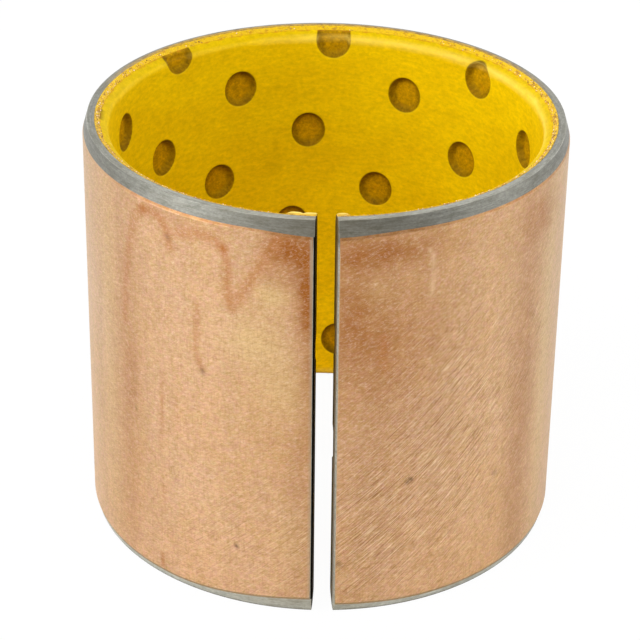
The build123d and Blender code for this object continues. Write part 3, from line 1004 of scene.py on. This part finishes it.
def grain_nodes():
    """Geometry Nodes: scatters small grains over the bare bronze, half sunk in it"""
    tree = bpy.data.node_groups.new("scattered_grains", "GeometryNodeTree")
    sockets = tree.interface
    sockets.new_socket("Geometry", in_out="INPUT", socket_type="NodeSocketGeometry")
    for name in ("Grains per Square Metre", "Smallest", "Largest", "Highest", "Lowest", "Smeared From",
                 "Smeared To"):
        sockets.new_socket(name, in_out="INPUT", socket_type="NodeSocketFloat")
    sockets.new_socket("Seed", in_out="INPUT", socket_type="NodeSocketInt")
    sockets.new_socket("Finish", in_out="INPUT", socket_type="NodeSocketMaterial")
    sockets.new_socket("Geometry", in_out="OUTPUT", socket_type="NodeSocketGeometry")
    given = add(tree, "NodeGroupInput").outputs

    # Only the rims, which look up or down, are bare, and fewer grains show opposite the slit, where
    # the tool smeared them over
    place = add(tree, "GeometryNodeInputPosition")
    facing = add(tree, "ShaderNodeSeparateXYZ", {0: add(tree, "GeometryNodeInputNormal")})
    off_level = add(tree, "ShaderNodeMath", {0: facing.outputs["Z"]}, operation="ABSOLUTE")
    bare = add(tree, "FunctionNodeCompare", {0: off_level, 1: 0.5}, operation="GREATER_THAN")
    held = add(tree, "ShaderNodeSeparateXYZ", {0: place})
    smeared = add(tree, "ShaderNodeMapRange", {"Value": held.outputs["Y"], "From Min": given["Smeared From"],
                                               "From Max": given["Smeared To"], "To Min": 1.0, "To Max": 0.12})
    density = add(tree, "ShaderNodeMath", {0: given["Grains per Square Metre"], 1: smeared},
                  operation="MULTIPLY")
    scattered = add(tree, "GeometryNodeDistributePointsOnFaces",
                    {"Mesh": given["Geometry"], "Selection": bare, "Density": density, "Seed": given["Seed"]})
    lowered = add(tree, "ShaderNodeMath", {0: held.outputs["Z"], 1: given["Highest"]}, operation="MINIMUM")
    kept = add(tree, "ShaderNodeMath", {0: lowered, 1: given["Lowest"]}, operation="MAXIMUM")
    seat = add(tree, "ShaderNodeCombineXYZ", {"X": held.outputs["X"], "Y": held.outputs["Y"], "Z": kept})
    seated = add(tree, "GeometryNodeSetPosition", {"Geometry": scattered, "Position": seat})
    ball = add(tree, "GeometryNodeMeshIcoSphere", {"Radius": 1.0, "Subdivisions": 1})
    size = add(tree, "FunctionNodeRandomValue",
               {2: given["Smallest"], 3: given["Largest"], "Seed": given["Seed"]},
               data_type="FLOAT")
    turn = add(tree, "FunctionNodeRandomValue", {0: (0, 0, 0), 1: (2 * pi, 2 * pi, 2 * pi)},
               data_type="FLOAT_VECTOR")
    grains = add(tree, "GeometryNodeInstanceOnPoints",
                 {"Points": seated, "Instance": ball, "Rotation": turn, "Scale": size.outputs[1]})
    tone = add(tree, "FunctionNodeRandomValue", data_type="FLOAT")
    toned = add(tree, "GeometryNodeStoreNamedAttribute",
                {"Geometry": grains, "Name": "grain_tone", "Value": tone.outputs[1]},
                data_type="FLOAT", domain="INSTANCE")
    real = add(tree, "GeometryNodeRealizeInstances", {"Geometry": toned})
    round_off = add(tree, "GeometryNodeSetShadeSmooth", {"Geometry": real}, domain="FACE")
    finished = add(tree, "GeometryNodeSetMaterial", {"Geometry": round_off, "Material": given["Finish"]})
    add(tree, "NodeGroupOutput", {0: finished})
    return tree


# Pieces
strip_tree = rolled_strip_nodes()
marks = indent_marks()
steel = rolled_layer("steel_shell", strip_tree, steel_section(), steel_finish, marks, plain_column, 10)
plating = rolled_layer("copper_flash", strip_tree, plating_section(), copper_finish, marks, painted_row, 10,
                       plating_margin)
bronze = rolled_layer("sintered_bronze", strip_tree, bronze_section(), bronze_finish, marks, plain_column, 20)
lining = rolled_layer("acetal_bore", strip_tree, lining_section(), acetal_finish, marks, embossed_grid, 70,
                      embossed=True)
bpy.data.objects.remove(marks)
lengthen_chamfers(steel.data)
lengthen_chamfers(plating.data)
raise_burrs(lining.data)
paint(plating.data, "dried", lines=drying_lines)
paint(plating.data, "browned_and_dark_reflection", patches=stain_and_dark_reflection_patches)
paint(plating.data, "pale", patches=thin_flash_and_sheen_patches)
paint(plating.data, "scored", patches=scored_patches)
paint(plating.data, "creased", lines=creases)
paint(plating.data, "pitted", patches=pits)
paint(lining.data, "smudged", patches=bore_smudges)
paint(lining.data, "torn", patches=torn_patches)
paint(lining.data, "slivered", lines=slivers)
paint(lining.data, "wiped", patches=wiped_patches)

largest_grain = 1.1 * grain_size / 2
powder = grown("bronze_grains", grain_nodes(), {
    "Grains per Square Metre": 34e6,
    "Smallest": 0.35 * grain_size / 2 * MM,
    "Largest": largest_grain * MM,
    "Highest": (length - largest_grain) * MM,
    "Lowest": largest_grain * MM,
    "Smeared From": 0.3 * bore_radius * MM,
    "Smeared To": 0.7 * bore_radius * MM,
    "Seed": 4,
    "Finish": powder_finish,
}, bronze.data)

for piece, node, slot in (
    (steel, "steel_backing", "steel"),
    (plating, "copper_plating", "copper"),
    (bronze, "bronze_interlayer", "bronze"),
    (powder, "bronze_interlayer", "bronze"),
    (lining, "acetal_lining", "acetal"),
):
    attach(piece, "root")
    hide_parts(node)


# Studio

def studio_floor():
    """A wide white table: white to the camera and in reflections, apart from the bush's soft shadow"""
    reach = 2.0
    mesh = bpy.data.meshes.new("floor")
    corners = [(-reach, -reach, 0), (reach, -reach, 0), (reach, reach, 0), (-reach, reach, 0)]
    mesh.from_pydata(corners, [], [(0, 1, 2, 3)])
    floor = linked("floor", mesh)
    material, tree = new_finish("white_table")
    table = add(tree, "ShaderNodeBsdfDiffuse", {"Color": linear("#F0F0F0")})
    glow = add(tree, "ShaderNodeEmission", {"Color": (1, 1, 1, 1), "Strength": 1.0})
    ray = add(tree, "ShaderNodeLightPath")
    to_eye = add(tree, "ShaderNodeMath", {0: ray.outputs["Is Camera Ray"], 1: 0.96}, operation="MULTIPLY")
    to_metal = add(tree, "ShaderNodeMath", {0: ray.outputs["Is Glossy Ray"], 1: 0.20}, operation="MULTIPLY")
    share = add(tree, "ShaderNodeMath", {0: to_eye, 1: to_metal})
    surface = add(tree, "ShaderNodeMixShader", {0: share, 1: table, 2: glow})
    add(tree, "ShaderNodeOutputMaterial", {"Surface": surface})
    mesh.materials.append(material)


def studio_world():
    """A pale room, dimmer behind the camera, that the camera itself sees as white"""
    world = bpy.data.worlds.new("pale_room")
    bpy.context.scene.world = world
    world.use_nodes = True
    tree = world.node_tree
    tree.nodes.clear()
    direction = add(tree, "ShaderNodeSeparateXYZ", {0: add(tree, "ShaderNodeTexCoord").outputs["Generated"]})
    to_front = add(tree, "ShaderNodeMapRange", {"Value": direction.outputs["Y"], "From Min": -1.0, "From Max": 0.6,
                                                "To Min": 0.12, "To Max": 0.72})
    to_back = add(tree, "ShaderNodeMapRange", {"Value": direction.outputs["Y"], "From Min": 0.6, "From Max": 0.9,
                                               "To Min": 0.0, "To Max": 0.5})
    level = add(tree, "ShaderNodeMath", {0: to_front, 1: to_back})
    ray = add(tree, "ShaderNodeLightPath")
    seen = add(tree, "ShaderNodeMix", {0: ray.outputs["Is Camera Ray"], 2: level, 3: 1.0}, data_type="FLOAT")
    room = add(tree, "ShaderNodeBackground", {"Color": (1, 1, 1, 1), "Strength": seen})
    add(tree, "ShaderNodeOutputWorld", {"Surface": room})


def soft_box(name, place, size, watts):
    """A square lamp that looks at the bush"""
    light = bpy.data.lights.new(name, "AREA")
    light.shape = "SQUARE"
    light.size = size
    light.energy = watts
    lamp = linked(name, light)
    aim = Vector((0, 0, length / 2 * MM))
    spot = Vector(place)
    lamp.matrix_world = Matrix.Translation(spot) @ (aim - spot).to_track_quat("-Z", "Y").to_matrix().to_4x4()


def photo_camera():
    """The photograph's view, from a fit to the bush's rims in its 640 x 640 frame"""
    frame_width = 640
    focal_pixels = 2426.0
    sensor = 36.0
    elevation = radians(28.955)
    roll = radians(0.931)
    turn = radians(0.822)
    aim = Vector((-0.185, 0, 11.395)) * MM
    distance = 145.98 * MM
    forward = Vector((0, cos(elevation), -sin(elevation)))
    level = Vector((1, 0, 0))
    upright = level.cross(forward)
    across = cos(roll) * level + sin(roll) * upright
    up = -sin(roll) * level + cos(roll) * upright
    eye = aim - distance * forward
    axes = Matrix((across, up, -forward)).transposed().to_4x4()
    data = bpy.data.cameras.new("camera")
    data.sensor_fit = "HORIZONTAL"
    data.sensor_width = sensor
    data.lens = focal_pixels / frame_width * sensor
    data.clip_start = 0.005
    camera = linked("camera", data)
    camera.matrix_world = Matrix.Rotation(-turn, 4, "Z") @ Matrix.Translation(eye) @ axes
    bpy.context.scene.camera = camera


studio_floor()
studio_world()
soft_box("overhead_box", (-0.03, -0.18, 0.27), 0.20, 0.60)
soft_box("left_box", (-0.28, -0.13, 0.14), 0.22, 0.72)
soft_box("right_box", (0.28, -0.04, 0.14), 0.18, 0.36)
soft_box("rear_left_box", (-0.22, 0.24, 0.13), 0.14, 0.22)
soft_box("rear_right_box", (0.20, 0.26, 0.13), 0.14, 0.20)
photo_camera()
bpy.context.scene.view_settings.view_transform = "Standard"
